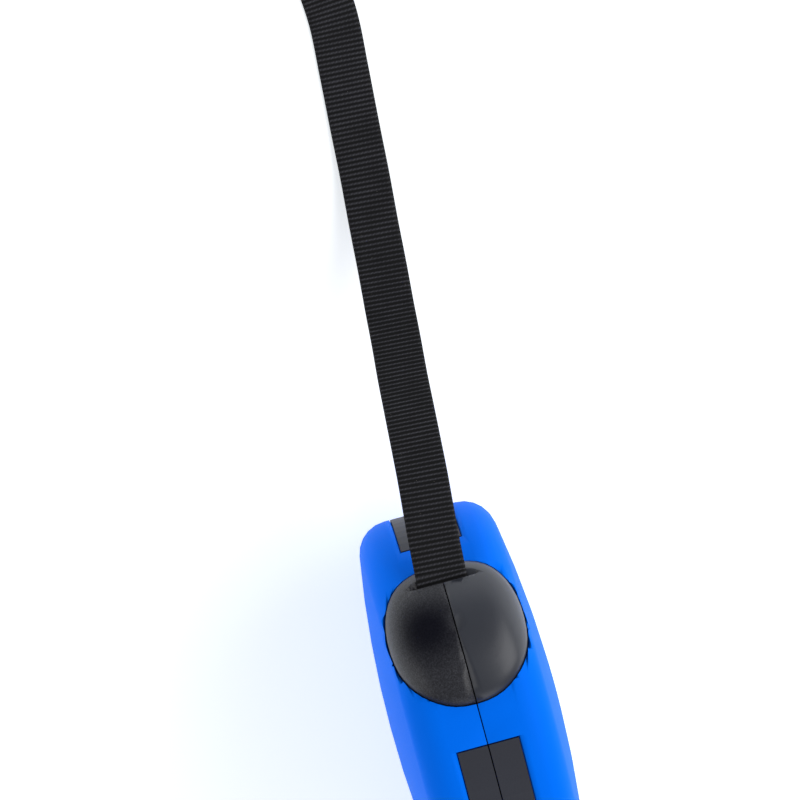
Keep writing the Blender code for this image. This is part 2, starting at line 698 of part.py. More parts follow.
def make_reel_inside():
    """Wound tape, anchor pin, spring cover, power spring and the arbor it hooks to."""
    half = TAPE_WIDE / 2.0
    tape = material("tape", BLACK, 0.9)
    disc("tape_winding", (0.0, DRUM_Z), WOUND_R, -half, half, HUB_R + GAP, tape, 60)
    steel = material("steel", STEEL, 0.3, 1.0)
    pin = disc_solid(ANCHOR_SPOT, PIN_R, -REEL_IN + 0.6 * MM, half - 2.0 * MM, 12)
    pin.name = "tape_anchor_pin"
    pin.data.materials.append(steel)
    cover = (CUP_R - CUP_WALL - GAP, COVER_IN, COVER_IN + COVER_THICK - 0.1 * MM)
    white = material("reel_plastic", WHITE_PLASTIC, 0.5)
    disc("spring_cover", (0.0, DRUM_Z), cover[0], cover[1], cover[2], ARBOR_R + 0.6 * MM, white, 48)
    disc("spring_arbor", (0.0, DRUM_Z), ARBOR_R, REEL_OUT + GAP, AXLE_END - GAP, AXLE_R + GAP, white, 24)
    points = []
    inner = ARBOR_R + GAP + SPRING_STRIP
    outer = CUP_R - CUP_WALL - GAP - SPRING_STRIP
    steps = SPRING_TURNS * 16
    for i in range(steps + 1):
        points.append(polar(inner + (outer - inner) * i / steps, 2.0 * math.pi * SPRING_TURNS * i / steps))
    dark = material("spring_steel", SPRING_STEEL, 0.35, 1.0)
    ribbon("power_spring", points, SPRING_STRIP, REEL_OUT + 0.4 * MM, COVER_IN - 0.4 * MM, dark)


def make_axle():
    """The steel axle between the two shells, with a tapped hole for the middle screw."""
    steel = material("steel", STEEL, 0.3, 1.0)
    axle = disc_solid((0.0, DRUM_Z), AXLE_R, -AXLE_HALF, AXLE_HALF, 24)
    axle.name = "axle"
    boolean(axle, disc_solid((0.0, DRUM_Z), SCREW_SHANK_R + GAP, -0.05, -AXLE_HALF + SCREW_BITE, 16), "DIFFERENCE")
    axle.data.materials.append(steel)


def make_screw(name, spot, head_out, tip):
    """A screw from the right side: a flat round head with a cross recess, and a shank."""
    shank = SCREW_SHANK_R
    head_in = -head_out + SCREW_HEAD_TALL
    profile = [
        (0.0, -head_out),
        (SCREW_HEAD_R - 0.4 * MM, -head_out),
        (SCREW_HEAD_R, -head_out + 0.4 * MM),
        (SCREW_HEAD_R, head_in),
        (shank, head_in),
        (shank, tip - shank),
        (0.0, tip),
    ]
    screw = turned(name, profile, spot, material("steel", STEEL, 0.3, 1.0), 16)
    cut = 0.35 * MM
    for wide, tall in ((cut, 1.6 * MM), (1.6 * MM, cut)):
        low = (spot[0] - wide, -head_out - MM, spot[1] - tall)
        high = (spot[0] + wide, -head_out + 0.8 * MM, spot[1] + tall)
        boolean(screw, block("driver", low, high), "DIFFERENCE")


def make_screws():
    """Four screws round the housing and one into the axle."""
    seat = HANDLE_HALF - SCREW_SEAT + SCREW_HEAD_TALL + GAP
    for i, spot in enumerate(SCREW_SPOTS):
        make_screw(f"screw_{i + 1}", spot, seat, SCREW_BITE - 0.5 * MM)
    centre_seat = DRUM_HALF - CENTRE_SEAT + SCREW_HEAD_TALL + GAP
    make_screw("screw_centre", (0.0, DRUM_Z), centre_seat, -AXLE_HALF + SCREW_BITE - 0.5 * MM)


# ---------------------------------------------------------------- brake

PAWL_TIP_R = REEL_R - TOOTH_DEPTH + 0.5 * MM
PAWL_IN = -REEL_IN - 0.7 * MM
PAWL_OUT = -REEL_IN - RATCHET_WIDE + 1.1 * MM
WING_DROP = 0.9 * MM
PAWL_TIP_X = -21.7 * MM


def pawl_pressed_tip():
    """Where the pawl's tip stands when it is in a gap between teeth."""
    return PAWL_TIP_X, DRUM_Z + math.sqrt(PAWL_TIP_R**2 - PAWL_TIP_X**2)


PAWL_ANGLE = math.atan2(pawl_pressed_tip()[1] - DRUM_Z, PAWL_TIP_X)


def released(point):
    """Turns a point of the pressed pawl back to its place at rest."""
    x, z = point[0] - PAWL_X, point[1] - PAWL_Z
    c, s = math.cos(-PAWL_SWING), math.sin(-PAWL_SWING)
    return PAWL_X + x * c + z * s, PAWL_Z - x * s + z * c


def make_pawl():
    """The lever that drops into the ratchet, with its pin."""
    tip_x, tip_z = pawl_pressed_tip()
    outline = [
        (tip_x - 0.9 * MM, tip_z),
        (tip_x + 0.9 * MM, tip_z),
        (tip_x + 1.5 * MM, tip_z + 4.6 * MM),
        (tip_x - 1.0 * MM, tip_z + 5.3 * MM),
        (PAWL_X, PAWL_Z + 3.0 * MM),
        (PAWL_X, PAWL_Z - 3.0 * MM),
        (PAWL_X + 9.0 * MM, PAWL_Z - 2.6 * MM),
        (tip_x - 3.4 * MM, tip_z + 3.6 * MM),
        (tip_x - 1.9 * MM, tip_z + 2.6 * MM),
    ]
    finish = material("pawl_plastic", WHITE_PLASTIC, 0.45)
    pawl = prism("brake_pawl", [released(p) for p in outline], PAWL_OUT, PAWL_IN, finish)
    boolean(pawl, disc_solid((PAWL_X, PAWL_Z), 3.0 * MM, PAWL_OUT + 0.02 * MM, PAWL_IN - 0.02 * MM), "UNION")
    boolean(pawl, disc_solid((PAWL_X, PAWL_Z), PIN_R + GAP, -0.05, 0.05), "DIFFERENCE")
    pin = disc_solid((PAWL_X, PAWL_Z), PIN_R, -PIN_HALF, PIN_HALF, 16)
    pin.name = "pawl_pin"
    pin.data.materials.append(material("steel", STEEL, 0.3, 1.0))


def make_button():
    """The thumb button, kept in by a flange under the housing, and its lock slider."""
    black = material("black_plastic", BLACK, 0.42)
    top = BUTTON_PROUD
    button = prism("brake_button", button_outline(0.0, BUTTON_FOOT, top), -BUTTON_HALF, BUTTON_HALF, black)
    flange = button_outline(BUTTON_LEDGE, BUTTON_FOOT, -WALL - GAP)
    boolean(button, prism("flange", flange, -BUTTON_HALF + 0.02 * MM, BUTTON_HALF - 0.02 * MM), "UNION")
    presser_rear, presser_front = PRESSER_X - 2.0 * MM, PRESSER_X + 2.0 * MM
    presser_outline = [on_line(presser_rear, PRESSER_FOOT), on_line(presser_front, PRESSER_FOOT)]
    presser_outline += [on_line(presser_front, BUTTON_FOOT + MM), on_line(presser_rear, BUTTON_FOOT + MM)]
    presser = prism("presser", presser_outline, PAWL_OUT, PAWL_IN)
    wing_rear = BUTTON_REAR_X + 4.0 * MM
    wing_top = -WALL - GAP - WING_DROP
    wing_outline = [on_line(wing_rear, BUTTON_FOOT), on_line(BUTTON_FRONT_X, BUTTON_FOOT)]
    wing_outline += [on_line(BUTTON_FRONT_X, wing_top), on_line(wing_rear, wing_top)]
    wing = prism("wing", wing_outline, PAWL_OUT, 0.0)
    boolean(button, wing, "UNION")
    boolean(button, presser, "UNION")
    low, high = LOCK_LIFT - GAP, top + 5.0 * MM
    channel = [on_line(BUTTON_FRONT_X + 5.0 * MM, low), on_line(BUTTON_FRONT_X + 5.0 * MM, high)]
    channel += [on_line(LOCK_REAR_X - GAP, high), on_line(LOCK_REAR_X - GAP, low)]
    boolean(button, prism("channel", channel, -LOCK_HALF - GAP, LOCK_HALF + GAP), "DIFFERENCE")
    lock = [
        on_line(LOCK_REAR_X, LOCK_LIFT),
        on_line(BUTTON_FRONT_X - 0.4 * MM, LOCK_LIFT),
        on_line(BUTTON_FRONT_X - 0.4 * MM, LOCK_LIFT + TONGUE_THICK),
        on_line(BUTTON_FRONT_X - LOCK_TRAVEL - 1.0 * MM, LOCK_LIFT + TONGUE_THICK),
        on_line(BUTTON_FRONT_X - LOCK_TRAVEL - 1.6 * MM, top + 0.5 * MM),
        on_line(LOCK_REAR_X + LOCK_TRAVEL * 0.2, top + 0.5 * MM),
    ]
    prism("brake_lock", list(reversed(lock)), -LOCK_HALF, LOCK_HALF, material("soft_plastic", CHARCOAL, 0.6))
    foot_x, foot_z = on_line(SPRING_SEAT_X, BUTTON_FOOT - GAP)
    base = Vector((foot_x, SPRING_SIDE_Y, foot_z)) - LINE_UP * RETURN_SPRING_LONG
    finish = material("spring_steel", SPRING_STEEL, 0.35, 1.0)
    coil_spring("button_spring", base, LINE_UP, RETURN_SPRING_LONG - 0.4 * MM, 1.9 * MM, 0.3 * MM, 5, finish)


BUTTON_FOOT = -WALL - 2.2 * MM
BUTTON_LEDGE = 1.6 * MM
PRESSER_X = -23.4 * MM
PRESSER_FOOT = BUTTON_FOOT - 0.4 * MM
LOCK_TRAVEL = 3.5 * MM
LOCK_HALF = 4.0 * MM
LOCK_REAR_X = BUTTON_FRONT_X - 16.0 * MM
LOCK_LIFT = 0.4 * MM
TONGUE_THICK = 0.9 * MM
RETURN_SPRING_LONG = 7.0 * MM
SPRING_SIDE_Y = 3.2 * MM


# ---------------------------------------------------------------- mouth roller


def make_roller():
    """The roller under the slot that the tape runs over, on its pin."""
    centre = (ROLLER_X, ROLLER_Z)
    white = material("reel_plastic", WHITE_PLASTIC, 0.5)
    disc("mouth_roller", centre, ROLLER_R, -ROLLER_HALF, ROLLER_HALF, ROLLER_PIN_R + 0.25 * MM, white, 20)
    pin = disc_solid(centre, ROLLER_PIN_R, -ROLLER_PIN_HALF, ROLLER_PIN_HALF, 12)
    pin.name = "roller_pin"
    pin.data.materials.append(material("steel", STEEL, 0.3, 1.0))


ROLLER_PIN_HALF = 8.6 * MM

# ---------------------------------------------------------------- tape

# The free tape's route from the slot: forward, sideways and up, in millimetres
TAPE_ROUTE = [
    (0.76, 0.0, 71.8),
    (7.26, -0.5, 68.2),
    (13.76, -1.2, 63.9),
    (20.26, -2.0, 58.3),
    (26.26, -2.7, 51.2),
    (31.76, -3.4, 43.0),
    (36.76, -4.1, 34.3),
    (42.26, -5.0, 25.6),
    (48.56, -5.8, 17.6),
    (56.26, -6.7, 10.8),
    (65.76, -7.5, 5.6),
    (76.76, -8.4, 2.4),
    (89.26, -9.1, 0.95),
    (103.26, -9.9, 0.6),
    (117.26, -10.5, 0.6),
    (131.26, -9.3, 0.6),
    (144.26, -7.4, 0.6),
    (157.26, -6.7, 0.6),
]
ROUTE_DROP = 72.52 * MM
LEAD_PAST_SLOT = 0.2 * MM


def route_point(forward, side, height):
    """A place on the route, tied to where the slot stands."""
    return Vector((SLOT_X + forward * MM, side * MM, height * MM * SLOT_Z / ROUTE_DROP))

HOOK_Y = route_point(*TAPE_ROUTE[-1]).y
TAPE_END_X = route_point(*TAPE_ROUTE[-1]).x


def smooth_route(points, per_span):
    """A Catmull-Rom curve through the points."""
    line = list(points)
    line = [line[0] * 2.0 - line[1]] + line + [line[-1] * 2.0 - line[-2]]
    curve = []
    for a, b, c, d in zip(line, line[1:], line[2:], line[3:]):
        for i in range(per_span):
            t = i / per_span
            bend = (a * -1.0 + c) * t + (a * 2.0 - b * 5.0 + c * 4.0 - d) * t**2
            curve.append(b + (bend + (b * 3.0 - a - c * 3.0 + d) * t**3) * 0.5)
    return curve + [line[-2]]


def make_tape():
    """The lead inside the mouth, the free stretch, and the sewn loop on its end."""
    tape = material("tape", BLACK, 0.9)
    half = TAPE_WIDE / 2.0
    route = [route_point(*place) for place in TAPE_ROUTE]
    start = Vector(polar(LEAD_R, LEAD_ANGLE)).to_3d()
    start = Vector((start.x, 0.0, start.y))
    stop = Vector((SLOT_X, 0.0, SLOT_Z)) + LEAD_DIRECTION * LEAD_PAST_SLOT
    lead = [(p.x, p.z) for p in (start, start.lerp(stop, 0.5), stop)]
    ribbon("tape_lead", lead, TAPE_THICK, -half, half, tape)
    ribbon("tape", [tuple(p) for p in smooth_route(route, 4)], TAPE_THICK, -half, half, tape)
    make_loop(tape, half)


def make_loop(tape, half):
    """Two sewn layers that open into a loop round the swivel's bar."""
    start = TAPE_END_X + 0.5 * MM
    low = 0.6 * MM
    top = low + TAPE_THICK + GAP
    ring = EYE_BAR_R + GAP + TAPE_THICK / 2.0 + 0.2 * MM
    path = [(start, low), (start + 9.0 * MM, low), (EYE_BAR_X - 5.0 * MM, low + 0.2 * MM)]
    path += arc((EYE_BAR_X, HOOK_Z, ring), math.radians(-105.0), math.radians(130.0), 14)
    path += [(EYE_BAR_X - 5.6 * MM, top + 2.2 * MM), (EYE_BAR_X - 9.0 * MM, top + 0.5 * MM)]
    path += [(EYE_BAR_X - 12.0 * MM, top), (start + 2.0 * MM, top)]
    points = [(x, HOOK_Y, z) for x, z in path]
    ribbon("tape_loop", points, TAPE_THICK, -half, half, tape)


EYE_BAR_X = TAPE_END_X + 23.0 * MM

# ---------------------------------------------------------------- snap hook

EYE_HALF = 10.0 * MM
EYE_OPEN_HALF = 6.9 * MM
EYE_FRONT_X = EYE_BAR_X + 9.5 * MM
BARREL_R = 4.2 * MM
BARREL_LONG = 6.0 * MM
STEM_R = 2.1 * MM
STEM_HEAD_R = 3.4 * MM
RING_X = EYE_FRONT_X + BARREL_LONG + 34.0 * MM
BOLT_SIDE = -7.2 * MM
TUBE_R = 3.6 * MM


def bar_x(name, x0, x1, radius, y, z, segments=24):
    """A round bar along X."""
    shape = bmesh.new()
    bmesh.ops.create_cone(
        shape, segments=segments, radius1=radius, radius2=radius, depth=x1 - x0, cap_ends=True
    )
    place = Matrix.Translation(((x0 + x1) / 2.0, y, z)) @ Matrix.Rotation(math.radians(90.0), 4, "Y")
    shape.transform(place)
    return add_object(name, shape)


def make_eye():
    """The rectangular swivel eye: a bar for the tape's loop and a barrel for the hook's stem."""
    zinc = material("zinc", ZINC, 0.28, 1.0)
    corner = EYE_HALF - EYE_BAR_R
    points = [
        (EYE_BAR_X, HOOK_Y - corner, HOOK_Z),
        (EYE_BAR_X, HOOK_Y + corner, HOOK_Z),
        (EYE_FRONT_X, HOOK_Y + corner * 0.86, HOOK_Z),
        (EYE_FRONT_X, HOOK_Y - corner * 0.86, HOOK_Z),
    ]
    eye = wire_along("swivel_eye", points, EYE_BAR_R, zinc, 2, True)
    barrel_end = EYE_FRONT_X + BARREL_LONG - 1.5 * MM
    boolean(eye, bar_x("barrel", EYE_FRONT_X - EYE_BAR_R, barrel_end, BARREL_R, HOOK_Y, HOOK_Z), "UNION")
    stem_hole = bar_x("hole", EYE_FRONT_X - 8.0 * MM, barrel_end + MM, STEM_R + GAP, HOOK_Y, HOOK_Z, 20)
    boolean(eye, stem_hole, "DIFFERENCE")


def make_hook():
    """The hook with its stem and bolt tube, the sliding bolt with its thumb knob, and the bolt's spring."""
    zinc = material("zinc", ZINC, 0.28, 1.0)
    barrel_end = EYE_FRONT_X + BARREL_LONG - 1.5 * MM
    stem_start = EYE_FRONT_X - EYE_BAR_R - GAP - 1.6 * MM
    hook = bar_x("hook_body", stem_start, barrel_end + 4.0 * MM, STEM_R, HOOK_Y, HOOK_Z)
    head = bar_x("head", stem_start, EYE_FRONT_X - EYE_BAR_R - GAP, STEM_HEAD_R, HOOK_Y, HOOK_Z)
    boolean(hook, head, "UNION")
    collar = bar_x("collar", barrel_end + GAP, barrel_end + 5.0 * MM, BARREL_R - 0.3 * MM, HOOK_Y, HOOK_Z)
    boolean(hook, collar, "UNION")
    base_x = barrel_end + 4.2 * MM
    tube_end = base_x + 17.0 * MM
    tube_y = HOOK_Y + BOLT_SIDE
    neck = [(base_x, HOOK_Y, HOOK_Z), (base_x + 3.0 * MM, HOOK_Y + 1.5 * MM, HOOK_Z)]
    ring_y = HOOK_Y
    rise = HOOK_RING_R
    for i in range(14):
        angle = math.radians(160.0 - i * (160.0 + 66.0) / 13)
        neck.append((RING_X + rise * math.cos(angle), ring_y + rise * math.sin(angle), HOOK_Z))
    boolean(hook, wire_along("arm", neck, HOOK_WIRE_R, zinc, 2), "UNION")
    boolean(hook, bar_x("tube", base_x - 2.0 * MM, tube_end, TUBE_R, tube_y, HOOK_Z), "UNION")
    web_low = (base_x - 2.0 * MM, tube_y, HOOK_Z - 2.4 * MM)
    boolean(hook, block("web", web_low, (base_x + 8.0 * MM, HOOK_Y + 1.0 * MM, HOOK_Z + 2.4 * MM)), "UNION")
    boolean(hook, bar_x("bore", base_x + 1.0 * MM, tube_end + MM, BOLT_R + GAP, tube_y, HOOK_Z, 20), "DIFFERENCE")
    slot_low = (tube_end - 4.0 * MM - BOLT_TRAVEL, tube_y - 6.0 * MM, HOOK_Z - KNOB_R - GAP)
    slot_high = (tube_end - 3.4 * MM + 2.0 * KNOB_R + GAP, tube_y, HOOK_Z + KNOB_R + GAP)
    boolean(hook, block("knob_slot", slot_low, slot_high), "DIFFERENCE")
    hook.data.materials.clear()
    hook.data.materials.append(zinc)
    knob_x = slot_high[0] - KNOB_R - GAP
    make_bolt(zinc, tube_end, tube_y, knob_x, base_x)


KNOB_R = 1.2 * MM


def make_bolt(zinc, tube_end, tube_y, knob_x, base_x):
    """The bolt closes the hook's mouth, and its spring pushes it shut."""
    tip_x = RING_X + HOOK_RING_R * math.cos(math.radians(66.0)) - HOOK_WIRE_R - GAP
    tail_x = knob_x - 3.0 * MM
    bolt = bar_x("hook_bolt", tail_x, tip_x, BOLT_R, tube_y, HOOK_Z, 16)
    shape = bmesh.new()
    bmesh.ops.create_cone(shape, segments=12, radius1=KNOB_R, radius2=KNOB_R, depth=6.0 * MM, cap_ends=True)
    shape.transform(Matrix.Translation((knob_x, tube_y - 3.4 * MM, HOOK_Z)) @ Matrix.Rotation(math.radians(90.0), 4, "X"))
    boolean(bolt, add_object("knob", shape), "UNION")
    bolt.data.materials.append(zinc)
    spring_base = (base_x + 1.4 * MM, tube_y, HOOK_Z)
    long = tail_x - 0.4 * MM - spring_base[0]
    finish = material("spring_steel", SPRING_STEEL, 0.35, 1.0)
    coil_spring("bolt_spring", spring_base, (1.0, 0.0, 0.0), long, 1.35 * MM, 0.25 * MM, 4, finish)


# ---------------------------------------------------------------- origins

# The part's origin is under the middle of the housing, so the drum's centre moves this far forward
CENTRE_SHIFT = -(HANDLE_TOP_X - HANDLE_TOP_R + DRUM_R) / 2.0


def joint_points():
    """The point on its joint's axis that each moving piece has as its origin."""
    drum = (0.0, 0.0, DRUM_Z)
    button_x, button_z = on_line((BUTTON_FRONT_X + BUTTON_REAR_X) / 2.0)
    lock_x, lock_z = on_line((BUTTON_FRONT_X + LOCK_REAR_X) / 2.0, LOCK_LIFT)
    return {
        "reel": drum,
        "reel_side_plate": drum,
        "tape_winding": drum,
        "tape_anchor_pin": drum,
        "spring_cover": drum,
        "power_spring": drum,
        "brake_button": (button_x, 0.0, button_z),
        "brake_lock": (lock_x, 0.0, lock_z),
        "brake_pawl": (PAWL_X, 0.0, PAWL_Z),
        "mouth_roller": (ROLLER_X, 0.0, ROLLER_Z),
        "swivel_eye": (EYE_BAR_X, HOOK_Y, HOOK_Z),
        "hook_body": (EYE_FRONT_X, HOOK_Y, HOOK_Z),
        "hook_bolt": (EYE_FRONT_X, HOOK_Y + BOLT_SIDE, HOOK_Z),
        "bolt_spring": (EYE_FRONT_X, HOOK_Y + BOLT_SIDE, HOOK_Z),
    }


def place_origins():
    """Sets each piece's origin, and moves the whole leash so that the housing is centred."""
    points = joint_points()
    for obj in bpy.data.objects:
        origin = Vector(points.get(obj.name, (0.0, 0.0, 0.0)))
        obj.data.transform(Matrix.Translation(-origin))
        obj.location = origin + Vector((CENTRE_SHIFT, 0.0, 0.0))


bpy.context.scene.unit_settings.scale_length = 1.0
for old in list(bpy.data.objects):
    bpy.data.objects.remove(old)

make_shells()
make_nozzle()
make_inlays()
make_axle()
make_reel()
make_ratchet()
make_reel_inside()
make_screws()
make_pawl()
make_button()
make_roller()
make_tape()
make_eye()
make_hook()
place_origins()
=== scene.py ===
"""The looks of the retractable leash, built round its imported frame."""

import math

import bmesh
import bpy
from mathutils import Matrix, Vector
from mathutils.kdtree import KDTree


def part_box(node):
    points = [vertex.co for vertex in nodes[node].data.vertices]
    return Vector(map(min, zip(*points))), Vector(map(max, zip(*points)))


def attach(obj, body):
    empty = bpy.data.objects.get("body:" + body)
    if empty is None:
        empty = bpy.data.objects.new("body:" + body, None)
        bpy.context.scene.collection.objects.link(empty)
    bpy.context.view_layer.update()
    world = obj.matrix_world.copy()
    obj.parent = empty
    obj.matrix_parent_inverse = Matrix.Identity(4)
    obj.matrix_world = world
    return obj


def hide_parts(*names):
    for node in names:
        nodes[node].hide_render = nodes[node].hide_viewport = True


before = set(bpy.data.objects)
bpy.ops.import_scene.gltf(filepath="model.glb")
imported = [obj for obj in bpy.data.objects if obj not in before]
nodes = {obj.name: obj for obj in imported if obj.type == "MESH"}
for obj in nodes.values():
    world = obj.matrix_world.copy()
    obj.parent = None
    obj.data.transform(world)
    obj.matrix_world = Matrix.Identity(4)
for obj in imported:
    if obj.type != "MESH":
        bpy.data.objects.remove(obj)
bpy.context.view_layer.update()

# ---------------------------------------------------------------- table
# A plain pale table. It gives off a little light of its own, so that it stays white and its
# shadows stay faint.
mm = 0.001
table_glow = 0.56
bpy.ops.object.select_all(action="DESELECT")
bpy.ops.mesh.primitive_plane_add(size=6.0, location=(0.0, 0.0, 0.0))
table = bpy.context.object
table.name = "table"
table_white = bpy.data.materials.new("table_white")
table_white.use_nodes = True
table_shader = table_white.node_tree.nodes["Principled BSDF"]
table_shader.inputs["Base Color"].default_value = (0.88, 0.90, 0.92, 1.0)
table_shader.inputs["Roughness"].default_value = 0.7
table_shader.inputs["Emission Color"].default_value = (0.95, 0.98, 1.0, 1.0)
table_shader.inputs["Emission Strength"].default_value = table_glow
table.data.materials.append(table_white)

# ---------------------------------------------------------------- light
# A soft white studio: an even sky, a large key light from the front, a fill light opposite it
# and a third light from behind the handle.
sky_strength = 0.32
sky = bpy.data.worlds.new("studio")
sky.use_nodes = True
sky.node_tree.nodes["Background"].inputs["Color"].default_value = (0.96, 0.98, 1.0, 1.0)
sky.node_tree.nodes["Background"].inputs["Strength"].default_value = sky_strength
bpy.context.scene.world = sky
bpy.context.scene.view_settings.view_transform = "Standard"


def softbox(name, place, aim, side, watts):
    """A square studio light aimed at a point."""
    lamp = bpy.data.lights.new(name, "AREA")
    lamp.size = side
    lamp.energy = watts
    holder = bpy.data.objects.new(name, lamp)
    holder.location = place
    holder.rotation_euler = (Vector(aim) - Vector(place)).to_track_quat("-Z", "Y").to_euler()
    bpy.context.scene.collection.objects.link(holder)


softbox("key_light", (0.30, -0.95, 0.85), (0.08, 0.0, 0.05), 1.2, 12.5)
softbox("fill_light", (0.10, 1.05, 0.55), (0.05, 0.0, 0.05), 1.0, 3.5)
softbox("back_light", (-1.1, -0.1, 0.75), (0.05, 0.0, 0.05), 0.9, 3.5)

# ---------------------------------------------------------------- camera
# It looks steeply down along the front edge of the housing from a metre away, rolled so that
# the tape runs up the view.
camera_aim = Vector((0.11101, -0.00194, 0.040))
camera_distance = 1.06026
camera_lens = 200.68
camera_height = math.radians(68.218)
camera_side = math.radians(4.191)
camera_roll = math.radians(160.945)
outward = Vector((
    math.cos(camera_height) * math.cos(camera_side),
    math.cos(camera_height) * math.sin(camera_side),
    math.sin(camera_height),
))
level = (-outward).cross(Vector((0.0, 0.0, 1.0))).normalized()
upright = level.cross(-outward)
right = level * math.cos(camera_roll) + upright * math.sin(camera_roll)
above = upright * math.cos(camera_roll) - level * math.sin(camera_roll)
lens = bpy.data.cameras.new("camera")
lens.sensor_width = 36.0
lens.lens = camera_lens
camera = bpy.data.objects.new("camera", lens)
turn = Matrix((right, above, outward)).transposed().to_4x4()
camera.matrix_world = Matrix.Translation(camera_aim + outward * camera_distance) @ turn
bpy.context.scene.collection.objects.link(camera)
bpy.context.scene.camera = camera

# ---------------------------------------------------------------- tape
# The leash itself: black nylon tape woven with cross ribs and a firm selvedge, 12 mm wide and
# under a millimetre thick. It runs out of the mouth, drops to the table and lies along it.
forward_shift = 32.0 * mm
tape_wide = 12.0 * mm
tape_thick = 0.9 * mm
rib_pitch = 1.18 * mm
rib_rise = 0.09 * mm
steps_per_rib = 5.0
selvedge_from, selvedge_share = 0.93, 0.07
selvedge_least = 0.02
map_scale = 100.0
tape_route = [
    (46.5, 0.0, 71.8),
    (53.0, -0.5, 68.2),
    (59.5, -1.2, 63.9),
    (66.0, -2.0, 58.3),
    (72.0, -2.7, 51.2),
    (77.5, -3.4, 43.0),
    (82.5, -4.1, 34.3),
    (88.0, -5.0, 25.6),
    (94.3, -5.8, 17.6),
    (102.0, -6.7, 10.8),
    (111.5, -7.5, 5.6),
    (122.5, -8.4, 2.4),
    (135.0, -9.1, 0.95),
    (149.0, -9.9, 0.6),
    (163.0, -10.5, 0.6),
    (177.0, -9.3, 0.6),
    (190.0, -7.4, 0.6),
    (203.0, -6.7, 0.6),
]
way_out = Vector((0.8938, 0.0, -0.4485))


def smooth_line(knots, per_span):
    """A Catmull-Rom curve through points."""
    ends = [knots[0] * 2.0 - knots[1]] + knots + [knots[-1] * 2.0 - knots[-2]]
    curve = []
    for a, b, c, d in zip(ends, ends[1:], ends[2:], ends[3:]):
        for i in range(per_span):
            t = i / per_span
            bend = (c - a) * t + (a * 2.0 - b * 5.0 + c * 4.0 - d) * t**2
            curve.append(b + (bend + (b * 3.0 - a - c * 3.0 + d) * t**3) * 0.5)
    return curve + [knots[-1]]


def even_line(curve, step):
    """The same line with points an even step apart, and how far along each lies."""
    points, reach, carried = [curve[0].copy()], [0.0], 0.0
    for a, b in zip(curve, curve[1:]):
        span = (b - a).length
        while carried + span >= step * len(points):
            points.append(a.lerp(b, (step * len(points) - carried) / span))
            reach.append(step * (len(points) - 1))
        carried += span
    return points, reach


def woven_piece(name, verts, faces, spots, finish):
    """A nylon piece from its points and faces, with a weave map from each point's spot."""
    mesh = bpy.data.meshes.new(name)
    mesh.from_pydata([tuple(v) for v in verts], [], faces)
    weave_map = mesh.uv_layers.new(name="weave")
    for corner in mesh.loops:
        across, run = spots[corner.vertex_index]
        weave_map.data[corner.index].uv = (across * map_scale, run * map_scale)
    mesh.validate()
    mesh.materials.append(finish)
    piece = bpy.data.objects.new(name, mesh)
    bpy.context.scene.collection.objects.link(piece)
    bpy.ops.object.select_all(action="DESELECT")
    piece.select_set(True)
    bpy.context.view_layer.objects.active = piece
    bpy.ops.object.mode_set(mode="EDIT")
    bpy.ops.mesh.select_all(action="SELECT")
    bpy.ops.mesh.normals_make_consistent(inside=False)
    bpy.ops.object.mode_set(mode="OBJECT")
    return piece


def woven_tape(name, node_name, curve, finish):
    """A ribbed tape along a line: thin at its selvedges, with each rib a ridge on both faces."""
    points, reach = even_line(curve, rib_pitch / steps_per_rib)
    shares = [-1.0, -0.985, -0.93, -0.8, -0.55, -0.28, 0.0, 0.28, 0.55, 0.8, 0.93, 0.985, 1.0]
    verts, faces, spots = [], [], []
    for i, (point, run) in enumerate(zip(points, reach)):
        along = (points[min(i + 1, len(points) - 1)] - points[max(i - 1, 0)]).normalized()
        lift = Vector((-along.z, 0.0, along.x)).normalized()
        side = along.cross(lift).normalized() * -1.0
        ridge = rib_rise * math.sin(2.0 * math.pi * run / rib_pitch)
        for face_side in (1.0, -1.0):
            row = shares if face_side > 0 else shares[::-1]
            for share in row:
                edge = max(0.0, abs(share) - selvedge_from) / selvedge_share
                half = tape_thick / 2.0 * math.sqrt(max(selvedge_least, 1.0 - edge**2))
                rise = half - rib_rise + ridge * face_side * (1.0 - edge)
                verts.append(point + side * (share * tape_wide / 2.0) + lift * (rise * face_side))
                spots.append((share * tape_wide / 2.0, run))
    count = 2 * len(shares)
    for i in range(len(points) - 1):
        for j in range(count):
            k = (j + 1) % count
            faces.append((i * count + j, i * count + k, (i + 1) * count + k, (i + 1) * count + j))
    faces.append(tuple(range(count))[::-1])
    faces.append(tuple((len(points) - 1) * count + j for j in range(count)))
    piece = woven_piece(name, verts, faces, spots, finish)
    bpy.ops.object.shade_smooth()
    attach(piece, "housing")
    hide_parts(node_name)
    return piece


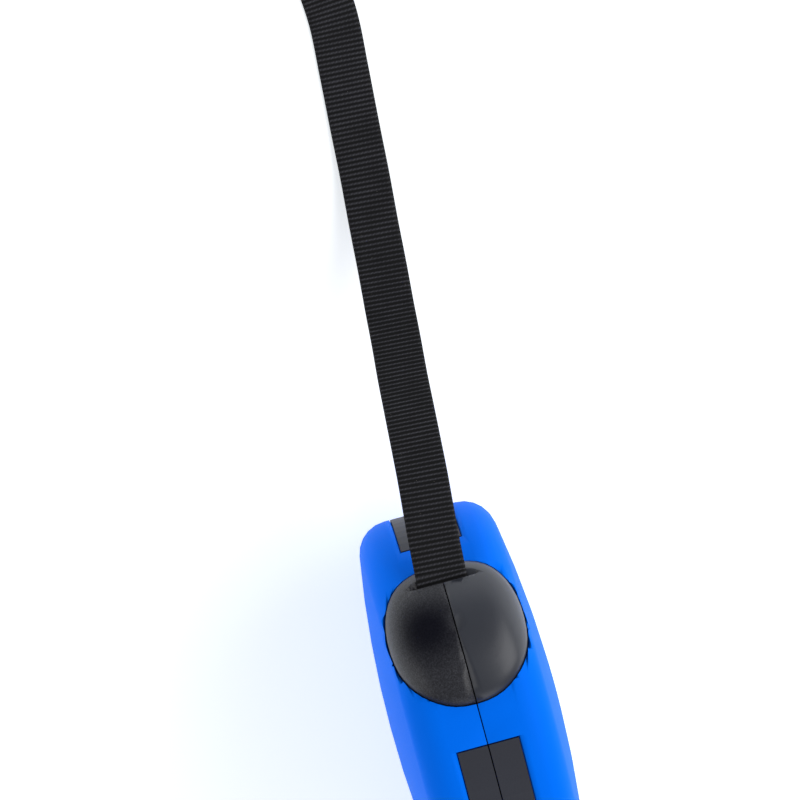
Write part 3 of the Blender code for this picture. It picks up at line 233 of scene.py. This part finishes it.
def woven_nylon():
    """Black nylon: painted light on each rib's crown and painted shade between the ribs, warp
    threads crossing it, and a little lint.
    """
    nylon = bpy.data.materials.new("woven_nylon")
    nylon.use_nodes = True
    tree = nylon.node_tree
    shader = tree.nodes["Principled BSDF"]
    weave = tree.nodes.new("ShaderNodeUVMap")
    weave.uv_map = "weave"

    def texture(kind, **values):
        node = tree.nodes.new(kind)
        for key, value in values.items():
            node.inputs[key].default_value = value
        tree.links.new(weave.outputs["UV"], node.inputs["Vector"])
        return node

    def combine(how, first, second, clamp=False):
        node = tree.nodes.new("ShaderNodeMath")
        node.operation = how
        node.use_clamp = clamp
        for socket, value in zip(node.inputs, (first, second)):
            if isinstance(value, float):
                socket.default_value = value
            else:
                tree.links.new(value, socket)
        return node.outputs["Value"]

    wave_turn = 20.0  # radians that a wave texture turns in one unit, at scale 1
    rib_scale = 2.0 * math.pi / (wave_turn * rib_pitch * map_scale)
    ribs = texture("ShaderNodeTexWave", Scale=rib_scale)
    ribs.bands_direction = "Y"
    ribs.wave_profile = "SIN"
    warp = texture("ShaderNodeTexWave", Scale=8.2, Distortion=1.2, Detail=1.0)
    warp.bands_direction = "X"
    twill = texture("ShaderNodeTexWave", Scale=6.2, Distortion=0.8, Detail=1.0)
    twill.bands_direction = "DIAGONAL"
    fuzz = texture("ShaderNodeTexNoise", Scale=60.0, Detail=6.0, Roughness=0.7)
    patches = texture("ShaderNodeTexNoise", Scale=1.6, Detail=2.0)
    threads = combine("MULTIPLY", warp.outputs["Fac"], twill.outputs["Fac"])
    ridge = combine("POWER", ribs.outputs["Fac"], 1.7)
    # Painted light and shade: rib crowns are painted lighter and the valleys between them darker,
    # with the threads mixed in; fuzz and patches then vary it at random.
    rib_crown_light = combine("MULTIPLY", combine("ADD", combine("MULTIPLY", threads, 0.55), 0.42), ridge)
    fuzz_and_rib_light = combine("MULTIPLY", rib_crown_light, combine("ADD", fuzz.outputs["Fac"], 0.4))
    patchy_fuzz_and_rib_light = combine("MULTIPLY", fuzz_and_rib_light, combine("ADD", patches.outputs["Fac"], 0.5))
    # This ramp turns the painted rib light into colour: near black in the valleys, lighter on the
    # crowns.
    shade = tree.nodes.new("ShaderNodeValToRGB")
    shade.color_ramp.elements[0].position = 0.08
    shade.color_ramp.elements[0].color = (0.0012, 0.0012, 0.0018, 1.0)
    shade.color_ramp.elements[1].position = 0.75
    shade.color_ramp.elements[1].color = (0.058, 0.058, 0.070, 1.0)
    tree.links.new(patchy_fuzz_and_rib_light, shade.inputs["Fac"])
    lint = texture("ShaderNodeTexVoronoi", Scale=5.5)
    speck = combine("LESS_THAN", lint.outputs["Distance"], 0.035)
    linted = tree.nodes.new("ShaderNodeMix")
    linted.data_type = "RGBA"
    linted.inputs["B"].default_value = (0.16, 0.15, 0.14, 1.0)
    tree.links.new(speck, linted.inputs["Factor"])
    tree.links.new(shade.outputs["Color"], linted.inputs["A"])
    tree.links.new(linted.outputs["Result"], shader.inputs["Base Color"])
    relief = tree.nodes.new("ShaderNodeBump")
    relief.inputs["Strength"].default_value = 0.7
    relief.inputs["Distance"].default_value = 0.00012
    tree.links.new(fuzz_and_rib_light, relief.inputs["Height"])
    tree.links.new(relief.outputs["Normal"], shader.inputs["Normal"])
    shader.inputs["Roughness"].default_value = 0.65
    shader.inputs["Specular IOR Level"].default_value = 0.22
    return nylon


nylon_finish = woven_nylon()
forward = Vector((forward_shift, 0.0, 0.0))
tape_path = smooth_line([Vector(p) * mm + forward for p in tape_route], 8)
exit_point = tape_path[0]
inner_end = exit_point - way_out * 5.0 * mm
tape_curve = smooth_line([inner_end] + tape_path, 2)
tape = woven_tape("woven_tape", "tape", tape_curve, nylon_finish)

lead_low, lead_high = (Vector(corner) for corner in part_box("tape_lead"))
lead_from = Vector((lead_low.x + 0.4 * mm, 0.0, lead_high.z - 0.4 * mm))
lead_to = inner_end - way_out * 0.3 * mm
woven_tape("woven_lead", "tape_lead", [lead_from, lead_to], nylon_finish)

# ---------------------------------------------------------------- sewn end of the tape
# The tape's end goes round the bar of the swivel eye and is folded back on itself, held by a
# box of stitches in thick black thread.
loop_start = 203.5 * mm + forward_shift
loop_side = -6.7 * mm
loop_bar = Vector((226.0 * mm + forward_shift, loop_side, 4.4 * mm))
lower_layer = 0.6 * mm
upper_layer = 1.8 * mm
loop_radius = 3.0 * mm
bend_from, bend_sweep, bend_steps = -105.0, 235.0, 13
loop_knots = [
    (loop_start - 0.6 * mm, lower_layer),
    (loop_start + 9.0 * mm, lower_layer),
    (loop_bar.x - 5.0 * mm, lower_layer + 0.2 * mm),
]
for i in range(bend_steps + 1):
    angle = math.radians(bend_from + bend_sweep * i / bend_steps)
    loop_knots.append((
        loop_bar.x + loop_radius * math.cos(angle),
        loop_bar.z + loop_radius * math.sin(angle),
    ))
loop_knots += [
    (loop_bar.x - 5.6 * mm, upper_layer + 2.2 * mm),
    (loop_bar.x - 9.0 * mm, upper_layer + 0.5 * mm),
    (loop_bar.x - 12.0 * mm, upper_layer),
    (loop_start + 2.0 * mm, upper_layer),
]
loop_line = smooth_line([Vector((x, loop_side, z)) for x, z in loop_knots], 6)
loop = woven_tape("woven_loop", "tape_loop", loop_line, nylon_finish)

thread_black = bpy.data.materials.new("thread_black")
thread_black.use_nodes = True
thread_tree = thread_black.node_tree
thread_twist = thread_tree.nodes.new("ShaderNodeTexWave")
thread_twist.inputs["Scale"].default_value = 900.0
thread_twist.inputs["Distortion"].default_value = 1.5
thread_place = thread_tree.nodes.new("ShaderNodeTexCoord")
thread_bump = thread_tree.nodes.new("ShaderNodeBump")
thread_bump.inputs["Distance"].default_value = 0.00006
thread_tree.links.new(thread_place.outputs["Object"], thread_twist.inputs["Vector"])
thread_tree.links.new(thread_twist.outputs["Fac"], thread_bump.inputs["Height"])
thread_shader = thread_tree.nodes["Principled BSDF"]
thread_tree.links.new(thread_bump.outputs["Normal"], thread_shader.inputs["Normal"])
thread_shader.inputs["Base Color"].default_value = (0.045, 0.046, 0.052, 1.0)
thread_shader.inputs["Roughness"].default_value = 0.5


def stitch(start, end, thick):
    """One stitch: a thread that dips into the tape at both ends."""
    bpy.ops.mesh.primitive_uv_sphere_add(segments=8, ring_count=6, radius=1.0)
    thread = bpy.context.object
    long = (end - start).length / 2.0
    thread.scale = (long, thick, thick * 0.7)
    thread.rotation_euler = (0.0, 0.0, math.atan2(end.y - start.y, end.x - start.x))
    thread.location = (start + end) / 2.0
    return thread


stitch_long = 2.1 * mm
stitch_thick = 0.24 * mm
stitch_gap = 0.12
box_from = loop_start + 2.6 * mm
box_to = loop_start + 11.0 * mm
box_half = 4.4 * mm
stitch_top = upper_layer + tape_thick / 2.0 - 0.02 * mm
corners = [
    Vector((box_from, loop_side - box_half, stitch_top)),
    Vector((box_to, loop_side - box_half, stitch_top)),
    Vector((box_to, loop_side + box_half, stitch_top)),
    Vector((box_from, loop_side + box_half, stitch_top)),
]
seams = [(0, 1), (1, 2), (2, 3), (3, 0), (0, 2), (1, 3)]
bpy.ops.object.select_all(action="DESELECT")
stitches = []
for first, last in seams:
    run = corners[last] - corners[first]
    count = round(run.length / stitch_long)
    for i in range(count):
        stitches.append(stitch(
            corners[first] + run * ((i + stitch_gap) / count),
            corners[first] + run * ((i + 1.0 - stitch_gap) / count),
            stitch_thick,
        ))
for thread in stitches:
    thread.select_set(True)
bpy.context.view_layer.objects.active = stitches[0]
bpy.ops.object.join()
stitching = bpy.context.object
stitching.name = "stitching"
bpy.ops.object.transform_apply(location=True, rotation=True, scale=True)
bpy.ops.object.shade_smooth()
stitching.data.materials.append(thread_black)
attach(stitching, "housing")

# ---------------------------------------------------------------- moulded plastics
# Every plastic part is injection moulded: a fine spark-eroded grain on the outside, slight
# flow variation in the colour and an uneven sheen.
sheen_range = 0.08
weld_reach = 0.02 * mm
seat_reach = 0.55 * mm
seat_turn = math.radians(9.0)


def moulded(name, colour, rough, grain_size, grain_depth, mottle=0.06, gloss=0.5):
    """A moulded plastic with a fine grain and slight changes of colour and sheen."""
    plastic = bpy.data.materials.new(name)
    plastic.use_nodes = True
    tree = plastic.node_tree
    shader = tree.nodes["Principled BSDF"]
    place = tree.nodes.new("ShaderNodeTexCoord")
    grain = tree.nodes.new("ShaderNodeTexNoise")
    grain.inputs["Scale"].default_value = 1.0 / grain_size
    grain.inputs["Detail"].default_value = 4.0
    grain.inputs["Roughness"].default_value = 0.6
    flow = tree.nodes.new("ShaderNodeTexNoise")
    flow.inputs["Scale"].default_value = 38.0
    flow.inputs["Detail"].default_value = 3.0
    for texture in (grain, flow):
        tree.links.new(place.outputs["Object"], texture.inputs["Vector"])
    tint = tree.nodes.new("ShaderNodeValToRGB")
    tint.color_ramp.elements[0].position = 0.3
    tint.color_ramp.elements[0].color = tuple(c * (1.0 - mottle) for c in colour) + (1.0,)
    tint.color_ramp.elements[1].position = 0.7
    tint.color_ramp.elements[1].color = tuple(min(1.0, c * (1.0 + mottle)) for c in colour) + (1.0,)
    tree.links.new(flow.outputs["Fac"], tint.inputs["Fac"])
    tree.links.new(tint.outputs["Color"], shader.inputs["Base Color"])
    sheen = tree.nodes.new("ShaderNodeMapRange")
    sheen.inputs["To Min"].default_value = rough - sheen_range
    sheen.inputs["To Max"].default_value = rough + sheen_range
    tree.links.new(grain.outputs["Fac"], sheen.inputs["Value"])
    tree.links.new(sheen.outputs["Result"], shader.inputs["Roughness"])
    shader.inputs["Specular IOR Level"].default_value = gloss
    relief = tree.nodes.new("ShaderNodeBump")
    relief.inputs["Strength"].default_value = 0.5
    relief.inputs["Distance"].default_value = grain_depth
    tree.links.new(grain.outputs["Fac"], relief.inputs["Height"])
    tree.links.new(relief.outputs["Normal"], shader.inputs["Normal"])
    return plastic


def dress(node_names, finish):
    """Gives CAD nodes a finish."""
    for node_name in node_names:
        node = nodes[node_name]
        node.data.materials.clear()
        node.data.materials.append(finish)


def crease_round(skin, seat):
    """Keeps the edge of a seat crisp all the way round the piece that sits in it."""
    near = KDTree(sum(len(nodes[name].data.vertices) for name in seat))
    for name in seat:
        for vert in nodes[name].data.vertices:
            near.insert(vert.co, vert.index)
    near.balance()
    close = [near.find(vert.co)[2] < seat_reach for vert in skin.data.vertices]
    shape = bmesh.new()
    shape.from_mesh(skin.data)
    for edge in shape.edges:
        if all(close[vert.index] for vert in edge.verts) and len(edge.link_faces) == 2:
            if edge.calc_face_angle(0.0) > seat_turn:
                edge.smooth = False
    shape.to_mesh(skin.data)
    shape.free()


def smoothed(node_name, body, finish, crease=28.0, level_faces=True, seat=()):
    """A part's finished skin: the node's own shape, welded and shaded smooth between creases."""
    skin = nodes[node_name].copy()
    skin.data = nodes[node_name].data.copy()
    skin.parent = None
    skin.name = node_name + "_skin"
    bpy.context.scene.collection.objects.link(skin)
    skin.matrix_world = Matrix.Identity(4)
    skin.data.materials.clear()
    skin.data.materials.append(finish)
    bpy.ops.object.select_all(action="DESELECT")
    skin.select_set(True)
    bpy.context.view_layer.objects.active = skin
    bpy.ops.object.mode_set(mode="EDIT")
    bpy.ops.mesh.select_all(action="SELECT")
    bpy.ops.mesh.remove_doubles(threshold=weld_reach)
    bpy.ops.mesh.normals_make_consistent(inside=False)
    bpy.ops.object.mode_set(mode="OBJECT")
    bpy.ops.object.shade_smooth_by_angle(angle=math.radians(crease))
    if seat:
        crease_round(skin, seat)
    if level_faces:
        level = skin.modifiers.new("level", "WEIGHTED_NORMAL")
        level.mode = "FACE_AREA_WITH_ANGLE"
        level.weight = 80
        level.keep_sharp = True
        bpy.ops.object.modifier_apply(modifier="level")
    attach(skin, body)
    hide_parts(node_name)
    return skin


# ---------------------------------------------------------------- housing shells
# Two moulded shells of blue ABS, screwed together on a seam down the middle.
blue_plastic = moulded("blue_plastic", (0.0, 0.172, 1.0), 0.5, 0.0004, 0.00003, 0.02, 0.02)
for shell in ("left_shell", "right_shell"):
    smoothed(shell, "housing", blue_plastic, seat=("nozzle_left", "nozzle_right"))

# ---------------------------------------------------------------- mouthpiece
# Two glass-filled nylon halves round the slot: the right one plain, the left one speckled by its
# grain except in a patch on its shoulder where a dark reflection is painted: the speckles fade
# there and it shines less.
dark_reflection_spot = (0.0716, 0.0065, 0.0836)
dark_reflection_near, dark_reflection_far = 1.5 * mm, 12.5 * mm
shaded_grained_black = moulded("shaded_grained_black", (0.010, 0.010, 0.017), 0.44, 0.0003, 0.00011, 0.2, 0.45)
grain_tree = shaded_grained_black.node_tree
grain_shader = grain_tree.nodes["Principled BSDF"]
grain_place = grain_tree.nodes.new("ShaderNodeTexCoord")
speckle = grain_tree.nodes.new("ShaderNodeTexNoise")
speckle.inputs["Scale"].default_value = 2600.0
speckle.inputs["Detail"].default_value = 3.0
speckle.inputs["Roughness"].default_value = 0.8
grain_tree.links.new(grain_place.outputs["Object"], speckle.inputs["Vector"])
# A painted dark reflection: towards this spot the grain's light speckles fade and the shine drops.
reflection_distance = grain_tree.nodes.new("ShaderNodeVectorMath")
reflection_distance.operation = "DISTANCE"
reflection_distance.inputs[1].default_value = dark_reflection_spot
grain_tree.links.new(grain_place.outputs["Object"], reflection_distance.inputs[0])
dark_reflection_fade = grain_tree.nodes.new("ShaderNodeMapRange")
dark_reflection_fade.interpolation_type = "SMOOTHSTEP"
dark_reflection_fade.inputs["From Min"].default_value = dark_reflection_near
dark_reflection_fade.inputs["From Max"].default_value = dark_reflection_far
dark_reflection_fade.inputs["To Min"].default_value = 0.12
dark_reflection_fade.inputs["To Max"].default_value = 1.0
grain_tree.links.new(reflection_distance.outputs["Value"], dark_reflection_fade.inputs["Value"])
light_grain = grain_tree.nodes.new("ShaderNodeMapRange")
light_grain.inputs["From Min"].default_value = 0.42
light_grain.inputs["From Max"].default_value = 0.68
light_grain.inputs["To Max"].default_value = 0.075
grain_tree.links.new(speckle.outputs["Fac"], light_grain.inputs["Value"])
grain_amount = grain_tree.nodes.new("ShaderNodeMath")
grain_amount.operation = "MULTIPLY"
grain_tree.links.new(light_grain.outputs["Result"], grain_amount.inputs[0])
grain_tree.links.new(dark_reflection_fade.outputs["Result"], grain_amount.inputs[1])
# The speckled colour and the shine, both dimmed in the painted dark reflection, take the place of
# the plain ones.
grained = grain_tree.nodes.new("ShaderNodeMix")
grained.data_type = "RGBA"
# This darker base black is painted shade, set against the lighter right half.
grained.inputs["A"].default_value = (0.004, 0.004, 0.008, 1.0)
grained.inputs["B"].default_value = (0.50, 0.52, 0.62, 1.0)
grain_tree.links.new(grain_amount.outputs["Value"], grained.inputs["Factor"])
grain_tree.links.new(grained.outputs["Result"], grain_shader.inputs["Base Color"])
dark_reflection_shine = grain_tree.nodes.new("ShaderNodeMath")
dark_reflection_shine.operation = "MULTIPLY"
dark_reflection_shine.inputs[1].default_value = 0.45
grain_tree.links.new(dark_reflection_fade.outputs["Result"], dark_reflection_shine.inputs[0])
grain_tree.links.new(dark_reflection_shine.outputs["Value"], grain_shader.inputs["Specular IOR Level"])
# Painted light and shade: the right half is painted a lighter black than the left, and the left
# half's darker black is painted shade; the grain is the finish.
lit_smooth_black = moulded("lit_smooth_black", (0.028, 0.031, 0.042), 0.38, 0.0003, 0.00002)
smoothed("nozzle_left", "housing", shaded_grained_black, level_faces=False)
smoothed("nozzle_right", "housing", lit_smooth_black, level_faces=False)

# ---------------------------------------------------------------- soft strips
# Thermoplastic rubber let into the rim and the back of the handle.
soft_touch = moulded("soft_touch", (0.019, 0.021, 0.033), 0.55, 0.0005, 0.00005, 0.12)
for node_name in sorted(name for name in nodes if "inlay" in name or "grip" in name):
    smoothed(node_name, "housing", soft_touch)

# ---------------------------------------------------------------- controls
# The brake button is a harder black acetal, and its sliding lock has the strips' soft touch.
control_black = moulded("control_black", (0.02, 0.021, 0.025), 0.45, 0.0004, 0.00003)
smoothed("brake_button", "button", control_black)
smoothed("brake_lock", "lock", soft_touch)

# ---------------------------------------------------------------- reel and its bearings
# The reel, its spring cover, the arbor, the pawl and the mouth roller are pale acetal, plain
# and slightly waxy; the ratchet plate is the same plastic in black.
pale_acetal = moulded("pale_acetal", (0.72, 0.72, 0.69), 0.38, 0.0006, 0.00001, 0.03)
dark_acetal = moulded("dark_acetal", (0.03, 0.03, 0.035), 0.36, 0.0006, 0.00001)
pale_parts = {
    "reel": "reel",
    "spring_cover": "reel",
    "spring_arbor": "housing",
    "brake_pawl": "pawl",
    "mouth_roller": "roller",
}
for node_name, body in pale_parts.items():
    smoothed(node_name, body, pale_acetal)
smoothed("reel_side_plate", "reel", dark_acetal)

# ---------------------------------------------------------------- wound tape
# The rest of the tape lies on the hub, layer on layer, with its edges showing between the
# flanges.
wound_low, wound_high = (Vector(corner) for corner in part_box("tape_winding"))
wound_centre = (wound_low + wound_high) / 2.0
wound_outer = (wound_high.x - wound_low.x) / 2.0
wound_inner = 16.3 * mm
wound_deep = wound_outer - wound_inner
edge_room = 0.2 * mm
wound_half = (wound_high.y - wound_low.y) / 2.0 - edge_room
layer_step = 1.08 * mm
layer_share = 0.86
layers = round(wound_deep / layer_step)
layer_thick = wound_deep / layers * layer_share
wander = 0.18 * mm
per_turn = 72
verts, faces, spots = [], [], []
reach = 0.0
steps = layers * per_turn
for i in range(steps + 1):
    angle = 2.0 * math.pi * i / per_turn
    radius = wound_inner + layer_thick / 2.0 + (wound_deep - layer_thick) * i / steps
    reach += radius * 2.0 * math.pi / per_turn
    wobble = wander * math.sin(angle * 0.37) * math.sin(angle * 0.11 + 1.0)
    for offset, across in ((-0.5, -1.0), (0.5, -1.0), (0.5, 1.0), (-0.5, 1.0)):
        out = radius + offset * layer_thick
        side = across * wound_half + wobble
        verts.append((
            wound_centre.x + out * math.cos(angle),
            wound_centre.y + side,
            wound_centre.z + out * math.sin(angle),
        ))
        spots.append((across * tape_wide / 2.0, reach))
for i in range(steps):
    for j in range(4):
        k = (j + 1) % 4
        faces.append((i * 4 + j, i * 4 + k, i * 4 + 4 + k, i * 4 + 4 + j))
faces.append((3, 2, 1, 0))
last_ring = steps * 4
faces.append((last_ring, last_ring + 1, last_ring + 2, last_ring + 3))
winding = woven_piece("wound_tape", verts, faces, spots, nylon_finish)
bpy.ops.object.shade_smooth_by_angle(angle=math.radians(40.0))
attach(winding, "reel")
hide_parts("tape_winding")

# ---------------------------------------------------------------- metal parts
# Turned steel pins and zinc-plated screws, blued spring strip and wire, and a snap hook die
# cast in zinc, tumbled and nickel plated.


def plated(name, colour, rough, streak, depth):
    """A metal with fine working marks and slightly uneven tarnish."""
    metal = bpy.data.materials.new(name)
    metal.use_nodes = True
    tree = metal.node_tree
    shader = tree.nodes["Principled BSDF"]
    shader.inputs["Metallic"].default_value = 1.0
    place = tree.nodes.new("ShaderNodeTexCoord")
    stretch = tree.nodes.new("ShaderNodeMapping")
    stretch.inputs["Scale"].default_value = streak
    marks = tree.nodes.new("ShaderNodeTexNoise")
    marks.inputs["Scale"].default_value = 900.0
    marks.inputs["Detail"].default_value = 5.0
    tarnish = tree.nodes.new("ShaderNodeTexNoise")
    tarnish.inputs["Scale"].default_value = 160.0
    tarnish.inputs["Detail"].default_value = 4.0
    tree.links.new(place.outputs["Object"], stretch.inputs["Vector"])
    tree.links.new(stretch.outputs["Vector"], marks.inputs["Vector"])
    tree.links.new(place.outputs["Object"], tarnish.inputs["Vector"])
    tint = tree.nodes.new("ShaderNodeValToRGB")
    tint.color_ramp.elements[0].position = 0.35
    tint.color_ramp.elements[0].color = tuple(c * 0.82 for c in colour) + (1.0,)
    tint.color_ramp.elements[1].position = 0.65
    tint.color_ramp.elements[1].color = tuple(colour) + (1.0,)
    tree.links.new(tarnish.outputs["Fac"], tint.inputs["Fac"])
    tree.links.new(tint.outputs["Color"], shader.inputs["Base Color"])
    polish = tree.nodes.new("ShaderNodeMapRange")
    polish.inputs["To Min"].default_value = rough - 0.07
    polish.inputs["To Max"].default_value = rough + 0.10
    tree.links.new(marks.outputs["Fac"], polish.inputs["Value"])
    tree.links.new(polish.outputs["Result"], shader.inputs["Roughness"])
    relief = tree.nodes.new("ShaderNodeBump")
    relief.inputs["Strength"].default_value = 0.4
    relief.inputs["Distance"].default_value = depth
    tree.links.new(marks.outputs["Fac"], relief.inputs["Height"])
    tree.links.new(relief.outputs["Normal"], shader.inputs["Normal"])
    return metal


turned_steel = plated("turned_steel", (0.62, 0.62, 0.64), 0.28, (1.0, 0.1, 1.0), 0.00001)
spring_blue = plated("spring_blue", (0.32, 0.35, 0.41), 0.30, (1.0, 0.1, 1.0), 0.00001)
nickel = plated("nickel", (0.72, 0.70, 0.67), 0.20, (0.3, 1.0, 1.0), 0.000015)
pins = ["axle", "pawl_pin", "roller_pin"]
screws = ["screw_1", "screw_2", "screw_3", "screw_4", "screw_centre"]
for node_name in pins + screws:
    smoothed(node_name, "housing", turned_steel)
smoothed("tape_anchor_pin", "reel", turned_steel)
cast_parts = {"swivel_eye": "eye", "hook_body": "hook", "hook_bolt": "bolt"}
snap_hook = [
    smoothed(node_name, body, nickel, crease=40.0)
    for node_name, body in cast_parts.items()
]
dress(["power_spring", "button_spring", "bolt_spring"], spring_blue)
